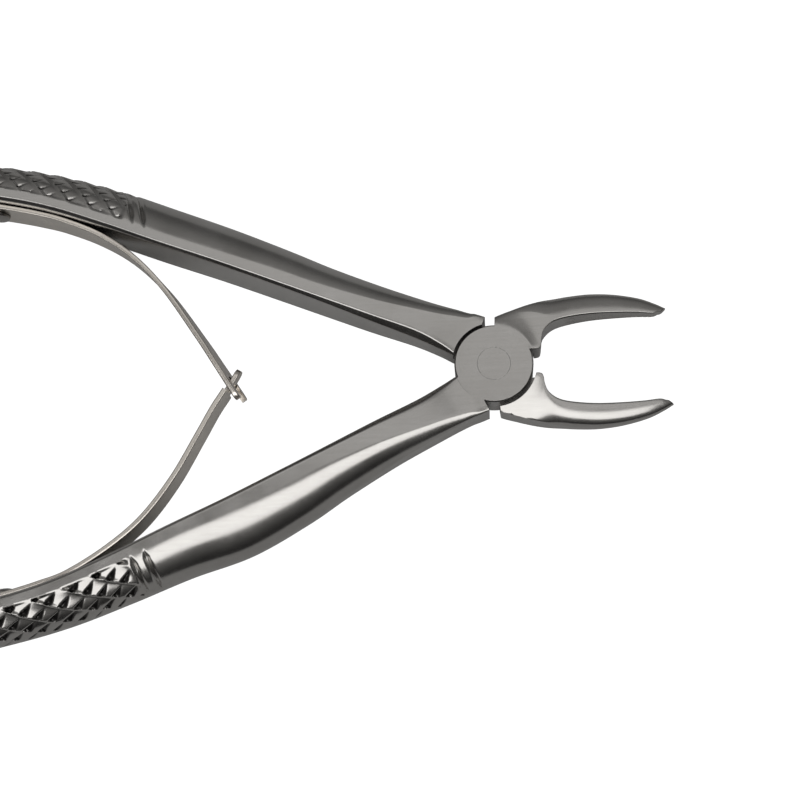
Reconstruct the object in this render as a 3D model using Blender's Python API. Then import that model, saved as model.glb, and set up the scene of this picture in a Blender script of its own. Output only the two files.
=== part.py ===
"""Child's extraction forceps: two crossed steel halves on one rivet, held open by two leaf springs.

Frame: the rivet's axis is Z and the joint's back face lies on z = 0. +X runs along the long axis
towards the beak tips, and +Z comes out of the joint's front face. The forceps are modelled at rest,
sprung open. Lengths below are millimetres; MM turns them into metres as meshes are made.
"""
import math

import bmesh
import bpy
from mathutils import Vector

MM = 0.001

# ---- Lap joint -------------------------------------------------------------------------------
JOINT_THICKNESS = 5.6
MIDDLE = JOINT_THICKNESS / 2
DISC_RADIUS = 5.5
PLATE_GAP = 0.2           # between the two plates, shared by both
RECESS_GAP = 0.3          # between a disc and the recess of the other half
SHOULDER_REACH = 9.0      # how far the notch cutters run out past the disc

# Where the full-thickness metal of each half begins, in degrees round the rivet from +X.
# The back half's angles are measured mirrored in the long axis, so both read the same way.
BEAK_SHOULDER = 85.5
HANDLE_SHOULDER = {"front": 97.5, "back": 94.5}

# ---- Rivet ----------------------------------------------------------------------------------
RIVET_RADIUS = 1.9
RIVET_HEAD_RADIUS = 2.3
RIVET_HEAD_DEPTH = 0.6
RIVET_GAP = 0.2

# ---- Handles --------------------------------------------------------------------------------
# One row per station, from the joint to the grip's end: distance along the axis, half the
# thickness, the chamfer along the inner face, the share of the width that is flat on top, and the
# share of the thickness that is an upright outer wall.
HANDLE_STATIONS = (
    (-3.6, 2.80, 0.20, 0.97, 0.92),
    (-5.45, 2.82, 0.30, 0.90, 0.88),
    (-7.5, 3.00, 0.60, 0.80, 0.76),
    (-11.0, 3.50, 0.85, 0.62, 0.55),
    (-17.0, 4.15, 0.85, 0.38, 0.30),
    (-24.0, 4.60, 0.75, 0.14, 0.14),
    (-30.0, 4.80, 0.65, 0.05, 0.06),
    (-38.0, 4.95, 0.55, 0.04, 0.03),
    (-46.0, 5.05, 0.48, 0.04, 0.03),
    (-54.0, 5.10, 0.45, 0.04, 0.03),
    (-62.0, 5.10, 0.45, 0.04, 0.03),
    (-70.0, 5.10, 0.45, 0.04, 0.03),
    (-80.0, 5.05, 0.45, 0.04, 0.03),
    (-91.0, 4.95, 0.45, 0.04, 0.03),
    (-101.5, 4.80, 0.45, 0.04, 0.03),
)
# At each station, how far the flat inner face lies from the long axis, and the width outward from
# it. The front half swells below the grip, and the back half runs straight there.
HANDLE_PLAN = {
    "front": (
        (0.7, 6.5), (1.5, 6.4), (2.6, 6.15), (4.45, 6.0), (7.2, 6.3), (10.5, 6.95), (13.25, 7.8),
        (16.8, 8.25), (20.1, 7.35), (23.5, 6.75), (26.55, 6.3), (28.6, 6.05), (30.3, 6.0),
        (31.2, 5.9), (31.0, 5.4),
    ),
    "back": (
        (0.7, 6.7), (1.55, 6.6), (2.75, 6.15), (4.55, 5.7), (7.2, 5.7), (10.4, 5.8), (13.1, 6.15),
        (16.6, 6.5), (19.9, 6.7), (23.3, 6.65), (26.4, 6.3), (28.5, 6.05), (30.3, 6.0),
        (31.2, 5.9), (31.0, 5.4),
    ),
}
HANDLE_RINGS_PER_STATION = 2
HANDLE_END_ROUNDING = 2.6
HANDLE_END_STEPS = (0.35, 0.62, 0.84, 0.97)

# ---- Beaks ----------------------------------------------------------------------------------
# Inner edge and outer edge of each station as (along, away from the axis), then half thickness,
# chamfer of the inner edges, flat share of the top and upright share of the outer wall.
BEAK_STATIONS = (
    ((2.0, 1.75), (-0.9, 6.1), 2.80, 0.10, 0.95, 0.92),
    ((4.4, 1.75), (1.0, 6.9), 2.80, 0.10, 0.92, 0.90),
    ((6.3, 1.75), (2.8, 7.5), 2.80, 0.10, 0.80, 0.84),
    ((6.75, 2.3), (4.2, 7.95), 2.78, 0.12, 0.62, 0.74),
    ((6.85, 3.2), (5.6, 8.35), 2.72, 0.14, 0.42, 0.62),
    ((7.3, 4.4), (7.2, 8.75), 2.62, 0.16, 0.26, 0.50),
    ((8.6, 5.45), (8.9, 9.1), 2.48, 0.18, 0.16, 0.42),
    ((10.6, 6.0), (10.9, 9.4), 2.28, 0.18, 0.10, 0.36),
    ((13.8, 6.35), (14.0, 9.6), 1.98, 0.18, 0.08, 0.34),
    ((17.2, 6.4), (17.4, 9.35), 1.68, 0.16, 0.08, 0.34),
    ((20.4, 6.3), (20.9, 8.6), 1.35, 0.14, 0.08, 0.34),
    ((22.6, 6.1), (23.2, 7.65), 1.05, 0.12, 0.08, 0.34),
    ((23.5, 6.3), (24.4, 7.0), 0.80, 0.08, 0.08, 0.34),
)
BEAK_RINGS_PER_STATION = 2

ARC_STEPS = 5             # facets of the rounded shoulder in each quarter of a section
ARC_POWER = 1.7           # 2 is an ellipse; less keeps a ridge where the flat meets the round

# ---- Leaf springs ---------------------------------------------------------------------------
LEAF_THICKNESS = 0.75
LEAF_BASE_WIDTH = 6.2
LEAF_TIP_WIDTH = 4.8
LEAF_SEAT_GAP = 0.25
# Free part of each leaf past its seat: distance along the axis and away from it.
LEAF_ROUTE = {
    "front": (
        (-54.6, 22.3), (-49.8, 18.5), (-45.4, 13.2), (-41.7, 7.3), (-39.4, 3.5), (-37.6, 0.95),
        (-35.7, -2.0),
    ),
    "back": (
        (-54.9, 22.8), (-50.1, 19.3), (-45.6, 14.2), (-41.1, 7.2), (-38.9, 3.5), (-37.1, 0.4),
        (-35.6, -2.2),
    ),
}
LEAF_SEAT_STATIONS = (-75.5, -72.0, -68.0, -64.0, -60.0)
LEAF_RINGS_PER_STATION = 2
TONGUE_WIDTH = 2.0
TONGUE_LENGTH = 3.6
FORK_SLOT_WIDTH = 2.6
FORK_SLOT_LENGTH = 3.8
BACK_LEAF_TWIST = 11.0    # degrees that the back leaf's fork turns about its own length

# ---- Leaf screws ----------------------------------------------------------------------------
SCREW_ALONG = -70.0
SCREW_HEAD_RADIUS = 2.1
SCREW_HEAD_HEIGHT = 0.9
SCREW_SHANK_RADIUS = 1.1
SCREW_SHANK_LENGTH = 3.4
SCREW_SLOT_WIDTH = 0.6
SCREW_SLOT_DEPTH = 0.5
SCREW_HOLE_GAP = 0.25
ROUND_STEPS = 32

BOTH = ("front", "back")


# ---- Curves ---------------------------------------------------------------------------------
def smooth_rows(rows, per_span):
    """Rows of numbers joined by Catmull-Rom curves, with per_span rows from each to the next."""
    table = [list(row) for row in rows]
    before = [2 * a - b for a, b in zip(table[0], table[1])]
    after = [2 * a - b for a, b in zip(table[-1], table[-2])]
    table = [before] + table + [after]
    result = []
    for index in range(1, len(table) - 2):
        p0, p1, p2, p3 = table[index - 1:index + 3]
        for step in range(per_span):
            t = step / per_span
            result.append([
                0.5 * (2 * b + (c - a) * t + (2 * a - 5 * b + 4 * c - d) * t * t
                       + (3 * b - a - 3 * c + d) * t ** 3)
                for a, b, c, d in zip(p0, p1, p2, p3)
            ])
    result.append(table[-2])
    return result


def headings(points):
    """Unit direction of travel at each point of a plane path."""
    result = []
    for index in range(len(points)):
        first = points[max(index - 1, 0)]
        second = points[min(index + 1, len(points) - 1)]
        result.append((second - first).normalized())
    return result


def shoulder_arc(width, height, flat_end, wall_top):
    """Points from the flat's end round to the top of the outer wall."""
    points = []
    for step in range(ARC_STEPS + 1):
        angle = math.pi / 2 * step / ARC_STEPS
        across = math.sin(angle) ** (2 / ARC_POWER)
        down = math.cos(angle) ** (2 / ARC_POWER)
        points.append((flat_end + (width - flat_end) * across, wall_top + (height - wall_top) * down))
    return points


def section(width, height, chamfer, flat_share, wall_share):
    """Closed outline (across, up) of a forged bar whose inner face is flat and outer side is round."""
    flat_end = chamfer + flat_share * (width - chamfer)
    upper = [(0.0, height - chamfer), (chamfer, height)]
    upper += shoulder_arc(width, height, flat_end, wall_share * height)
    lower = [(across, -up) for across, up in reversed(upper)]
    return upper + lower


# ---- Meshes ---------------------------------------------------------------------------------
def face_outward(mesh_data):
    bmesh.ops.recalc_face_normals(mesh_data, faces=mesh_data.faces)
    if mesh_data.calc_volume(signed=True) < 0:
        bmesh.ops.reverse_faces(mesh_data, faces=mesh_data.faces)


def loft(name, rings):
    """Closed solid through rings of points in millimetres, with flat ends."""
    mesh_data = bmesh.new()
    layers = [[mesh_data.verts.new(Vector(point) * MM) for point in ring] for ring in rings]
    for lower, upper in zip(layers, layers[1:]):
        count = len(lower)
        for index in range(count):
            follow = (index + 1) % count
            mesh_data.faces.new((lower[index], lower[follow], upper[follow], upper[index]))
    mesh_data.faces.new(layers[0])
    mesh_data.faces.new(layers[-1])
    face_outward(mesh_data)
    mesh = bpy.data.meshes.new(name)
    mesh_data.to_mesh(mesh)
    mesh_data.free()
    solid = bpy.data.objects.new(name, mesh)
    bpy.context.scene.collection.objects.link(solid)
    return solid


def turned(name, profile, origin=(0, 0, 0), axis=(0, 0, 1), steps=ROUND_STEPS):
    """Solid of revolution from (radius, height) rows along an axis."""
    axis = Vector(axis).normalized()
    helper = Vector((0, 0, 1)) if abs(axis.z) < 0.9 else Vector((1, 0, 0))
    side = axis.cross(helper).normalized()
    up = axis.cross(side)
    rings = []
    for radius, height in profile:
        centre = Vector(origin) + axis * height
        rings.append([
            centre + (side * math.cos(turn) + up * math.sin(turn)) * radius
            for turn in (2 * math.pi * step / steps for step in range(steps))
        ])
    return loft(name, rings)


def prism(name, outline, low, high):
    """Upright solid over a plane outline between two heights."""
    return loft(name, [[(x, y, z) for x, y in outline] for z in (low, high)])


def combine(target, other, operation):
    """Boolean that is applied at once, after which the second solid is gone."""
    modifier = target.modifiers.new(operation.lower(), "BOOLEAN")
    modifier.operation = operation
    modifier.object = other
    bpy.context.view_layer.update()
    graph = bpy.context.evaluated_depsgraph_get()
    result = bpy.data.meshes.new_from_object(target.evaluated_get(graph))
    target.modifiers.clear()
    target.data = result
    bpy.data.objects.remove(other, do_unlink=True)


def shade(solid, angle_degrees=32):
    solid.data.shade_smooth()
    solid.data.set_sharp_from_angle(angle=math.radians(angle_degrees))


def steel(name, colour, roughness):
    material = bpy.data.materials.new(name)
    material.use_nodes = True
    shader = material.node_tree.nodes["Principled BSDF"]
    shader.inputs["Base Color"].default_value = (*colour, 1)
    shader.inputs["Metallic"].default_value = 1.0
    shader.inputs["Roughness"].default_value = roughness
    return material


def finish(solid, material, body):
    shade(solid)
    solid.data.materials.clear()
    solid.data.materials.append(material)
    solid.parent = body


# ---- Placing the two halves -----------------------------------------------------------------
def handle_sign(half):
    """The front half's handle lies at -Y and its beak at +Y; the back half is the other way up."""
    return -1 if half == "front" else 1


def inner_face_path(half):
    """Points of the handle's inner face in plan, with the unit vector that leads away from the axis."""
    sign = handle_sign(half)
    rows = smooth_rows(
        [(along, away, width, *rest) for (along, *rest), (away, width)
         in zip(HANDLE_STATIONS, HANDLE_PLAN[half])],
        HANDLE_RINGS_PER_STATION,
    )
    points = [Vector((row[0], row[1])) for row in rows]
    path = []
    for row, point, heading in zip(rows, points, headings(points)):
        outward = Vector((heading.y, -heading.x))
        path.append((Vector((point.x, sign * point.y)), Vector((outward.x, sign * outward.y)), row))
    return path


def handle_solid(half):
    rings = []
    for point, outward, row in inner_face_path(half):
        rings.append([(*(point + outward * across), MIDDLE + up) for across, up in section(*row[2:])])
    last = [Vector(point) for point in rings[-1]]
    before = [Vector(point) for point in rings[-2]]
    centre = sum(last, Vector()) / len(last)
    heading = (centre - sum(before, Vector()) / len(before)).normalized()
    for share in HANDLE_END_STEPS:
        shrink = 1 - 0.62 * (1 - math.sqrt(1 - share * share))
        offset = heading * HANDLE_END_ROUNDING * share
        rings.append([centre + offset + (point - centre) * shrink for point in last])
    return loft(half + "_handle", rings)


def beak_solid(half):
    sign = -handle_sign(half)
    rows = smooth_rows([(*inner, *outer, *rest) for inner, outer, *rest in BEAK_STATIONS],
                       BEAK_RINGS_PER_STATION)
    rings = []
    for row in rows:
        inner = Vector((row[0], sign * row[1]))
        outer = Vector((row[2], sign * row[3]))
        width = (outer - inner).length
        across_direction = (outer - inner).normalized()
        rings.append([
            (*(inner + across_direction * across), MIDDLE + up)
            for across, up in section(width, *row[4:])
        ])
    return loft(half + "_beak", rings)


def sector(name, start, end):
    """Cutter outside the disc between two directions, in degrees round the rivet."""
    inner = DISC_RADIUS
    turns = [math.radians(start + (end - start) * step / 4) for step in range(5)]
    outline = [(inner * math.cos(turn), inner * math.sin(turn)) for turn in turns]
    outline += [(SHOULDER_REACH * math.cos(turn), SHOULDER_REACH * math.sin(turn)) for turn in reversed(turns)]
    return prism(name, outline, -2.0, JOINT_THICKNESS + 2.0)


def half_solid(half):
    """One forging: handle, disc and beak in one piece, bored for the rivet."""
    sign = handle_sign(half)
    front = half == "front"
    solid = handle_solid(half)
    combine(solid, beak_solid(half), "UNION")
    # Both ends of the full-thickness metal are cut square, so that a notch shows between the halves.
    low, high = BEAK_SHOULDER, HANDLE_SHOULDER[half]
    for beak_side, start, end in ((True, low, 140.0), (False, 40.0, high)):
        side = -sign if beak_side else sign
        if side > 0:
            angles = (start, end)
        else:
            angles = (-start, -end)
        combine(solid, sector(half + "_notch", *angles), "DIFFERENCE")
    # The recess takes the other half's disc, and the disc itself fills the rest of the thickness.
    plate_inner = MIDDLE + PLATE_GAP / 2 if front else MIDDLE - PLATE_GAP / 2
    far = -3.0 if front else JOINT_THICKNESS + 3.0
    clear = DISC_RADIUS + RECESS_GAP
    recess = turned(half + "_recess", ((clear, min(far, plate_inner)), (clear, max(far, plate_inner))),
                    steps=2 * ROUND_STEPS)
    combine(solid, recess, "DIFFERENCE")
    outer_face = JOINT_THICKNESS if front else 0.0
    disc_profile = ((DISC_RADIUS, min(plate_inner, outer_face)), (DISC_RADIUS, max(plate_inner, outer_face)))
    combine(solid, turned(half + "_disc", disc_profile, steps=2 * ROUND_STEPS), "UNION")
    combine(solid, turned(half + "_bore", rivet_profile(RIVET_GAP)), "DIFFERENCE")
    combine(solid, screw_hole(half), "DIFFERENCE")
    solid.name = half + "_half"
    return solid


# ---- Rivet ----------------------------------------------------------------------------------
def rivet_profile(gap=0.0):
    """(radius, height) rows of the rivet, or with a gap of the countersunk bore that takes it."""
    over = 0.5 if gap else 0.0
    shank = RIVET_RADIUS + gap
    head = RIVET_HEAD_RADIUS + gap
    return (
        (head, -over), (head, 0.05), (shank, RIVET_HEAD_DEPTH),
        (shank, JOINT_THICKNESS - RIVET_HEAD_DEPTH), (head, JOINT_THICKNESS - 0.05),
        (head, JOINT_THICKNESS + over),
    )


# ---- Leaf springs ---------------------------------------------------------------------------
def seat_point(half, along):
    """Point and outward direction of the handle's inner face at a distance along the axis."""
    path = inner_face_path(half)
    for (first, first_out, _), (second, second_out, _) in zip(path, path[1:]):
        if second.x <= along <= first.x:
            share = (along - first.x) / (second.x - first.x)
            return first.lerp(second, share), first_out.lerp(second_out, share).normalized()
    raise ValueError("no handle at that distance")


def leaf_path(half):
    """Middle line of a leaf in plan, from its screwed end to its tip."""
    sign = handle_sign(half)
    lift = LEAF_SEAT_GAP + LEAF_THICKNESS / 2
    points = []
    for along in LEAF_SEAT_STATIONS:
        point, outward = seat_point(half, along)
        points.append(point - outward * lift)
    points += [Vector((along, sign * away)) for along, away in LEAF_ROUTE[half]]
    return [Vector(row) for row in smooth_rows(points, LEAF_RINGS_PER_STATION)]


def path_lengths(points):
    lengths = [0.0]
    for first, second in zip(points, points[1:]):
        lengths.append(lengths[-1] + (second - first).length)
    return lengths


def point_at(points, lengths, wanted):
    for index in range(len(points) - 1):
        if lengths[index + 1] >= wanted or index == len(points) - 2:
            share = (wanted - lengths[index]) / (lengths[index + 1] - lengths[index])
            return points[index].lerp(points[index + 1], share)


def leaf_ring(centre, heading, width, twist_degrees):
    """Four corners across a leaf, turned about its length by the twist."""
    normal = Vector((heading.y, -heading.x, 0))
    twist = math.radians(twist_degrees)
    along_width = Vector((0, 0, math.cos(twist))) + normal * math.sin(twist)
    along_thickness = normal * math.cos(twist) - Vector((0, 0, math.sin(twist)))
    middle = Vector((centre.x, centre.y, MIDDLE))
    corners = ((1, 1), (1, -1), (-1, -1), (-1, 1))
    return [
        middle + along_width * width / 2 * wide + along_thickness * LEAF_THICKNESS / 2 * thick
        for wide, thick in corners
    ]


def leaf_solid(half):
    points = leaf_path(half)
    lengths = path_lengths(points)
    total = lengths[-1]
    front = half == "front"
    shoulder = total - TONGUE_LENGTH
    stops = [0.0, 0.7, 2.0]
    stops += [length for length in lengths[1:-1] if 2.4 < length < total - 4.4]
    tail = (-4.2, -TONGUE_LENGTH, 0.05 - TONGUE_LENGTH, -2.4, -1.4, -0.7, -0.2, 0.0)
    stops += [total + offset for offset in tail]
    rings = []
    for stop in stops:
        centre = point_at(points, lengths, stop)
        heading = point_at(points, lengths, min(stop + 0.3, total)) - point_at(points, lengths, max(stop - 0.3, 0))
        share = stop / total
        width = LEAF_BASE_WIDTH + (LEAF_TIP_WIDTH - LEAF_BASE_WIDTH) * max(0, (share - 0.3) / 0.7)
        width *= 1 - 0.45 * max(0.0, 1 - stop / 2.0) ** 2
        if front and stop > shoulder:
            width = TONGUE_WIDTH * (1 - 0.6 * max(0.0, 1 - (total - stop) / 0.8) ** 2)
        twist = 0.0 if front else BACK_LEAF_TWIST * max(0.0, (share - 0.4) / 0.6)
        rings.append(leaf_ring(centre, heading.normalized(), width, twist))
    leaf = loft(half + "_leaf_spring", rings)
    combine(leaf, screw_hole(half), "DIFFERENCE")
    if not front:
        combine(leaf, fork_cutter(points, lengths), "DIFFERENCE")
    return leaf


def fork_cutter(points, lengths):
    """Slot with a round bottom that opens at the back leaf's tip and takes the front leaf's tongue."""
    total = lengths[-1]
    tip = point_at(points, lengths, total)
    heading = (tip - point_at(points, lengths, total - FORK_SLOT_LENGTH)).normalized()
    normal = Vector((heading.y, -heading.x, 0))
    twist = math.radians(BACK_LEAF_TWIST)
    wide = Vector((0, 0, math.cos(twist))) + normal * math.sin(twist)
    thick = normal * math.cos(twist) - Vector((0, 0, math.sin(twist)))
    forward = Vector((heading.x, heading.y, 0))
    start = Vector((tip.x, tip.y, MIDDLE)) - forward * (FORK_SLOT_LENGTH - FORK_SLOT_WIDTH / 2)
    radius = FORK_SLOT_WIDTH / 2
    outline = [(FORK_SLOT_LENGTH, -radius)]
    outline += [
        (-radius * math.cos(turn), radius * math.sin(turn))
        for turn in (math.pi * (step / 8 - 0.5) for step in range(9))
    ]
    outline += [(FORK_SLOT_LENGTH, radius)]
    rings = [
        [start + forward * ahead + wide * aside + thick * depth for ahead, aside in outline]
        for depth in (-1.5, 1.5)
    ]
    return loft("fork_slot", rings)


# ---- Leaf screws ----------------------------------------------------------------------------
def screw_frame(half):
    """Where a screw head's underside meets its leaf, and the direction in which the screw goes in."""
    point, outward = seat_point(half, SCREW_ALONG)
    inward_face = point - outward * (LEAF_SEAT_GAP + LEAF_THICKNESS + SCREW_HOLE_GAP)
    return Vector((*inward_face, MIDDLE)), Vector((*outward, 0))


def screw_hole(half):
    """Cutter for the clearance hole in the leaf and the blind hole in the handle."""
    origin, direction = screw_frame(half)
    radius = SCREW_SHANK_RADIUS + SCREW_HOLE_GAP
    depth = SCREW_SHANK_LENGTH + SCREW_HOLE_GAP
    return turned(half + "_screw_hole", ((radius, -1.0), (radius, depth)), origin, direction)


def screw_solid(half):
    origin, direction = screw_frame(half)
    rows = [(SCREW_SHANK_RADIUS, SCREW_SHANK_LENGTH), (SCREW_SHANK_RADIUS, 0.0), (SCREW_HEAD_RADIUS, 0.0)]
    rim = 0.3
    dome_steps = 4
    for step in range(dome_steps + 1):
        turn = math.pi / 2 * step / dome_steps * 0.9
        height = rim + (SCREW_HEAD_HEIGHT - rim) * math.sin(turn)
        rows.append((SCREW_HEAD_RADIUS * (0.25 + 0.75 * math.cos(turn)), -height))
    screw = turned(half + "_spring_screw", rows, origin, direction)
    along = Vector((direction.y, -direction.x, 0))
    up = Vector((0, 0, 1))
    reach = SCREW_HEAD_RADIUS + 1.0
    floor = origin - direction * (SCREW_HEAD_HEIGHT - SCREW_SLOT_DEPTH)
    mouth = origin - direction * (SCREW_HEAD_HEIGHT + 1.0)
    half_slot = SCREW_SLOT_WIDTH / 2
    rings = [
        [level + along * half_slot * a + up * reach * b for a, b in ((1, 1), (1, -1), (-1, -1), (-1, 1))]
        for level in (floor, mouth)
    ]
    combine(screw, loft(half + "_screw_slot", rings), "DIFFERENCE")
    return screw


# ---- Assembly -------------------------------------------------------------------------------
def clear_scene():
    for leftover in list(bpy.data.objects):
        bpy.data.objects.remove(leftover, do_unlink=True)


def body_empty(name):
    """Empty on the rivet's axis that carries one half and what is fastened to it."""
    empty = bpy.data.objects.new(name, None)
    bpy.context.scene.collection.objects.link(empty)
    return empty


def build():
    clear_scene()
    satin = steel("satin_steel", (0.52, 0.50, 0.48), 0.34)
    spring = steel("spring_steel", (0.60, 0.57, 0.53), 0.30)
    polished = steel("polished_steel", (0.46, 0.44, 0.43), 0.22)
    bodies = {half: body_empty(half + "_body") for half in BOTH}
    for half in BOTH:
        finish(half_solid(half), satin, bodies[half])
        finish(leaf_solid(half), spring, bodies[half])
        finish(screw_solid(half), polished, bodies[half])
    finish(turned("pivot_rivet", rivet_profile()), satin, bodies["front"])


build()
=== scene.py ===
import math

import bmesh
import bpy
import numpy as np
from mathutils import Matrix, Vector


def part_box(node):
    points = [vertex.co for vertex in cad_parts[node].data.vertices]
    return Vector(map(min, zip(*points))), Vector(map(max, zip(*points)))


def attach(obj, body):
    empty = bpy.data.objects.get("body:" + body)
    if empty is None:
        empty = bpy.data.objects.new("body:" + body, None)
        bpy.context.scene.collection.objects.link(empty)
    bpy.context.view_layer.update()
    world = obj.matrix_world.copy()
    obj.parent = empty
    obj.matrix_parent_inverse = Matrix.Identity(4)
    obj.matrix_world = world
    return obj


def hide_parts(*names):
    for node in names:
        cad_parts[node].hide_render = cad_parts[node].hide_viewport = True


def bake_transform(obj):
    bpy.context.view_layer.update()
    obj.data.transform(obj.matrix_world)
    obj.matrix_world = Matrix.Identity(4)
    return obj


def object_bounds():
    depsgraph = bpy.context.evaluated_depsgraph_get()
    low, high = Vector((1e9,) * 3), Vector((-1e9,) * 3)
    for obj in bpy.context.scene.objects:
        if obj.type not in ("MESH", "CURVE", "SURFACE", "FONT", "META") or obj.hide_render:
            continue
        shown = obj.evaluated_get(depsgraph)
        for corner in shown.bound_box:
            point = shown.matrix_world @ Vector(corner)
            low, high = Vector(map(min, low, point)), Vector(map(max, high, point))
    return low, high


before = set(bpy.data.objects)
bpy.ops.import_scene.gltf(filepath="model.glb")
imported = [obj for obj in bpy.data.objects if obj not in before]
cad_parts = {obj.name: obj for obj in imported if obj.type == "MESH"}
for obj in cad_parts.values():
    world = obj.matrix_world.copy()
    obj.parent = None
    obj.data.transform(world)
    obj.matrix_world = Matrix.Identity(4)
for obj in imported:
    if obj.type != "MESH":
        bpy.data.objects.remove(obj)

CAD_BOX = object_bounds()
MM = 0.001

# ---- Sizes taken from the frame -----------------------------------------------------------------
RIVET_LOW, RIVET_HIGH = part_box("pivot_rivet")
THICKNESS = (RIVET_HIGH.z - RIVET_LOW.z) / MM        # of the lap joint
MIDDLE = (RIVET_HIGH.z + RIVET_LOW.z) / 2 / MM
RIVET_RADIUS = (RIVET_HIGH.x - RIVET_LOW.x) / 2 / MM
FLOOR_LEVEL = CAD_BOX[0].z

# ---- Lap joint ----------------------------------------------------------------------------------
DISC_RADIUS = 5.5
RIM_CHAMFER = 0.18
PLATE_GAP = 0.12          # between the two discs
RECESS_GAP = 0.42         # round a disc in the other half
RECESS_SHIFT = 0.10         # of the recess towards the beak, where its gap is wider
SHOULDER_REACH = 9.0      # from the rivet to beyond the outside of the shoulders
# Directions round the rivet, in degrees from the beaks, at which each half's full-thickness metal ends.
BEAK_SHOULDER = 85.5
HANDLE_SHOULDER = {"front": 94.6, "back": 94.5}
BEAK_NOTCH_END = 140.0
HANDLE_NOTCH_START = 40.0
RIVET_SEAM = 0.008
RIVET_WAIST = 0.4         # by which the shank is thinner than the two ends
CUT_CLEAR = 2.0           # by which a cutting solid stands clear of the metal

# ---- Handles ------------------------------------------------------------------------------------
# Along the axis, half thickness, chamfer, flat share of the top, upright share of the outer wall, and
# power of the shoulder between them: 2 is an ellipse, and less keeps a ridge where it starts.
HANDLE_STATIONS = (
    (-3.6, 2.80, 0.20, 0.97, 0.92, 1.6),
    (-5.45, 2.82, 0.30, 0.90, 0.88, 1.6),
    (-7.5, 3.00, 0.60, 0.78, 0.76, 1.6),
    (-11.0, 3.50, 0.85, 0.62, 0.55, 1.6),
    (-17.0, 4.15, 0.70, 0.43, 0.30, 1.7),
    (-24.0, 4.60, 0.52, 0.30, 0.14, 1.8),
    (-30.0, 4.80, 0.44, 0.26, 0.08, 1.85),
    (-38.0, 4.95, 0.42, 0.20, 0.05, 1.85),
    (-46.0, 5.05, 0.42, 0.18, 0.03, 1.9),
    (-54.0, 5.10, 0.45, 0.20, 0.03, 2.1),
    (-62.0, 5.10, 0.45, 0.20, 0.03, 2.1),
    (-70.0, 5.10, 0.45, 0.20, 0.03, 2.1),
    (-80.0, 5.05, 0.45, 0.20, 0.03, 2.1),
    (-91.0, 4.95, 0.45, 0.20, 0.03, 2.1),
    (-101.5, 4.80, 0.45, 0.20, 0.03, 2.1),
)
# How far the inner face lies from the long axis at each station, and the width outward from it.
HANDLE_PLAN = {
    "front": (
        (0.7, 6.5), (1.5, 6.4), (2.6, 6.15), (4.45, 6.0), (7.2, 6.3), (10.5, 6.95), (13.25, 7.8),
        (16.8, 8.25), (20.1, 7.35), (23.5, 6.75), (26.55, 6.3), (28.6, 6.05), (30.3, 6.0),
        (31.2, 5.9), (31.0, 5.4),
    ),
    "back": (
        (0.7, 6.7), (1.55, 6.6), (2.75, 6.15), (4.55, 5.7), (7.2, 5.7), (10.4, 5.8), (13.1, 6.15),
        (16.6, 6.5), (19.9, 6.7), (23.3, 6.65), (26.4, 6.3), (28.5, 6.05), (30.3, 6.0),
        (31.2, 5.9), (31.0, 5.4),
    ),
}
HANDLE_END_ROUNDING = 2.6
HANDLE_END_SHRINK = 0.62  # by how much of itself the section shrinks over the rounding
HANDLE_COUNTS = (5, 8, 54)   # points on the inner wall, the flat and the outer side of half a section
HANDLE_RING_STEP = 0.40   # between rings where the handle is plain
GRIP_RING_STEP = 0.15     # between rings where the grip is cut
GRIP_FROM = 48.5          # along the handle's inner face from its joint end

# ---- Grip: forged cross pattern and the two ring grooves beside it --------------------------------
# Pitches, places and leans are along the handle's inner face; a lean is for each unit round the section.
GRIP = {
    "front": {
        "step_pitch": 4.15, "step_lean": -1.4, "notch_pitch": 3.0, "notch_lean": 1.2,
        "anchor": 58.4, "notch": 0.62, "step": 0.36,
        "rings": (51.0, 52.9), "ring_lean": 0.04,
    },
    "back": {
        "step_pitch": 3.45, "step_lean": 1.15, "notch_pitch": 2.6, "notch_lean": -1.4,
        "anchor": 58.2, "notch": 0.28, "step": 0.32,
        "rings": (50.4, 52.2), "ring_lean": 0.55,
    },
}
GRIP_STRIP = 1.15         # plain strip left along each inner edge
GRIP_RUN_OUT = 0.3        # over which the cuts come out of the metal
GRIP_OUTER = (7.0, 9.6)   # round the section, where the pattern fades towards the outer side
GRIP_START = (0.4, 1.2)   # beyond the second ring groove, where the pattern starts
ANCHOR_AROUND = 1.75      # round the section, where the lines of the pattern are anchored
NOTCH_SLOPE = 1.0
NOTCH_GROWTH = 1.3        # times its full depth that a notch gains across its step, less its start
NOTCH_START = 0.15
NOTCH_SHARE = 0.8         # of a notch's depth that is added to its step's
NOTCH_SHADE_DEPTHS = (0.024, 0.168)  # depths of a notch between which its painted shade darkens
STEP_RISE = 0.12          # share of a step's width taken by its sharp side
STEP_TURN = (1.4, 4.3)    # round the section, between which the steps change sides
RING_DEPTH = 0.46
RING_SLOPE = 0.85
RING_INNER = (0.75, 2.55)
RING_OUTER = (7.0, 9.0)
RING_ANCHOR_AROUND = 3.0

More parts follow.
